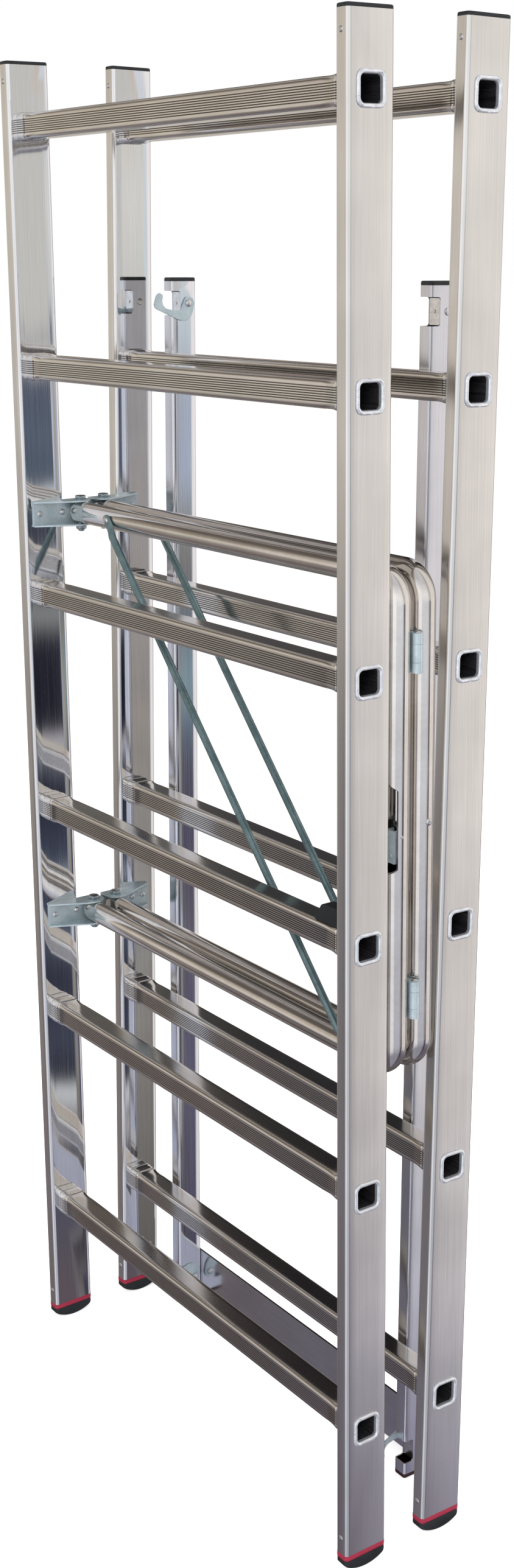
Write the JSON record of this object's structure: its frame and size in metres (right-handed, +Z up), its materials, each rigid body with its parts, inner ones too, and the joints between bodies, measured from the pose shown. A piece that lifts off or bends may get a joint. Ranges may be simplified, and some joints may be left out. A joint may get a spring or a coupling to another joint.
{
  "type": "folding ladder trestle",
  "caption": "Folding aluminium ladder trestle, stored flat: two ladder frames joined by a hinged tube brace, with a shorter hook-on bridging frame standing behind.",
  "frame": {"origin": "on the floor, midway between the stiles and under the middle of the stored stack", "axes": "+X to the right along the rungs, +Y from the near ladder back through the stored stack, +Z up along the stiles"},
  "size_m": [0.679, 0.2266, 1.6477],
  "materials": {
    "stile_aluminium": "satin extruded",
    "rung_aluminium": "fluted extruded",
    "bridge_aluminium": "satin extruded",
    "polished_tube": "polished",
    "zinc_sheet": "zinc plated",
    "zinc_rod": "zinc plated",
    "zinc_fastener": "zinc plated",
    "bright_fastener": "bright",
    "black_plastic": "moulded",
    "dark_red_plastic": "moulded",
    "crimson_plastic": "moulded",
    "black_rubber": "moulded"
  },
  "bodies": {
    "near_ladder": {"near_left_stile": "stile_aluminium", "near_right_stile": "stile_aluminium", "near_rung_1": "rung_aluminium", "near_rung_2": "rung_aluminium", "near_rung_3": "rung_aluminium", "near_rung_4": "rung_aluminium", "near_rung_5": "rung_aluminium", "near_rung_6": "rung_aluminium", "near_top_caps": "black_plastic", "near_foot_bands": "crimson_plastic", "near_soles": "black_rubber", "near_end_rivets": "bright_fastener", "near_upper_bracket": "zinc_sheet", "near_lower_bracket": "zinc_sheet", "near_bracket_rivets": "bright_fastener", "near_pivot_bolts": "zinc_fastener", "near_pivot_nuts": "zinc_fastener", "brace_rest_clip": "black_plastic"},
    "near_brace": {"near_brace_tube": "polished_tube", "near_brace_rod": "zinc_rod", "near_rod_rivets": "bright_fastener", "near_hinge_leaves": "zinc_sheet", "hinge_pins": "zinc_fastener", "latch_pin": "bright_fastener"},
    "latch": {"brace_latch": "zinc_sheet"},
    "far_brace": {"far_brace_tube": "polished_tube", "far_brace_rod": "zinc_rod", "far_rod_rivets": "bright_fastener", "far_hinge_leaves": "zinc_sheet", "far_latch_rivet": "bright_fastener"},
    "far_ladder": {"far_left_stile": "stile_aluminium", "far_right_stile": "stile_aluminium", "far_rung_1": "rung_aluminium", "far_rung_2": "rung_aluminium", "far_rung_3": "rung_aluminium", "far_rung_4": "rung_aluminium", "far_rung_5": "rung_aluminium", "far_rung_6": "rung_aluminium", "far_top_caps": "black_plastic", "far_foot_bands": "crimson_plastic", "far_soles": "black_rubber", "far_end_rivets": "bright_fastener", "far_upper_bracket": "zinc_sheet", "far_lower_bracket": "zinc_sheet", "far_bracket_rivets": "bright_fastener", "far_pivot_bolts": "zinc_fastener", "far_pivot_nuts": "zinc_fastener"},
    "bridging_frame": {"bridge_left_rail": "bridge_aluminium", "bridge_right_rail": "bridge_aluminium", "bridge_cross_bar": "bridge_aluminium", "bridge_top_caps": "black_plastic", "bridge_low_caps": "dark_red_plastic", "bridge_bar_rivets": "bright_fastener", "notch_liners": "bright_fastener", "hook_rivets": "bright_fastener"},
    "top_left_hook": {"hook_top_left": "zinc_sheet"},
    "top_right_hook": {"hook_top_right": "zinc_sheet"},
    "low_left_hook": {"hook_low_left": "zinc_sheet"},
    "low_right_hook": {"hook_low_right": "zinc_sheet"}
  },
  "joints": [
    {"name": "brace_fold", "type": "hinge", "parent": "near_ladder", "child": "near_brace", "pos_m": [-0.298, -0.03802, 0.8505], "axis": [0, 0, 1], "range_deg": [0, 80]},
    {"name": "brace_knee", "type": "hinge", "parent": "near_brace", "child": "far_brace", "pos_m": [0.337, -0.02152, 0.8505], "axis": [0, 0, 1], "range_deg": [-160, 0]},
    {"name": "far_pivot", "type": "hinge", "parent": "far_brace", "child": "far_ladder", "pos_m": [-0.298, -0.00502, 0.8505], "axis": [0, 0, 1], "range_deg": [0, 80]},
    {"name": "latch_press", "type": "hinge", "parent": "near_brace", "child": "latch", "pos_m": [0.325, -0.04052, 0.8465], "axis": [1, 0, 0], "range_deg": [0, 12]},
    {"name": "bridge_lift_off", "type": "slide", "parent": "far_ladder", "child": "bridging_frame", "axis": [0, 1, 0], "range_m": [0, 0.4]},
    {"name": "top_left_hook_turn", "type": "hinge", "parent": "bridging_frame", "child": "top_left_hook", "pos_m": [-0.2485, 0.09553, 1.36604], "axis": [1, 0, 0], "range_deg": [0, 40]},
    {"name": "top_right_hook_turn", "type": "hinge", "parent": "bridging_frame", "child": "top_right_hook", "pos_m": [0.2205, 0.09553, 1.36604], "axis": [1, 0, 0], "range_deg": [-90, 0]},
    {"name": "low_left_hook_turn", "type": "hinge", "parent": "bridging_frame", "child": "low_left_hook", "pos_m": [-0.2485, 0.07462, 0.0352], "axis": [1, 0, 0], "range_deg": [-30, 0]},
    {"name": "low_right_hook_turn", "type": "hinge", "parent": "bridging_frame", "child": "low_right_hook", "pos_m": [0.2205, 0.07462, 0.0352], "axis": [1, 0, 0], "range_deg": [-30, 0]}
  ],
  "couplings": [
    {"joint": "brace_knee", "follows": "brace_fold", "ratio": -2},
    {"joint": "far_pivot", "follows": "brace_fold", "ratio": 1}
  ]
}
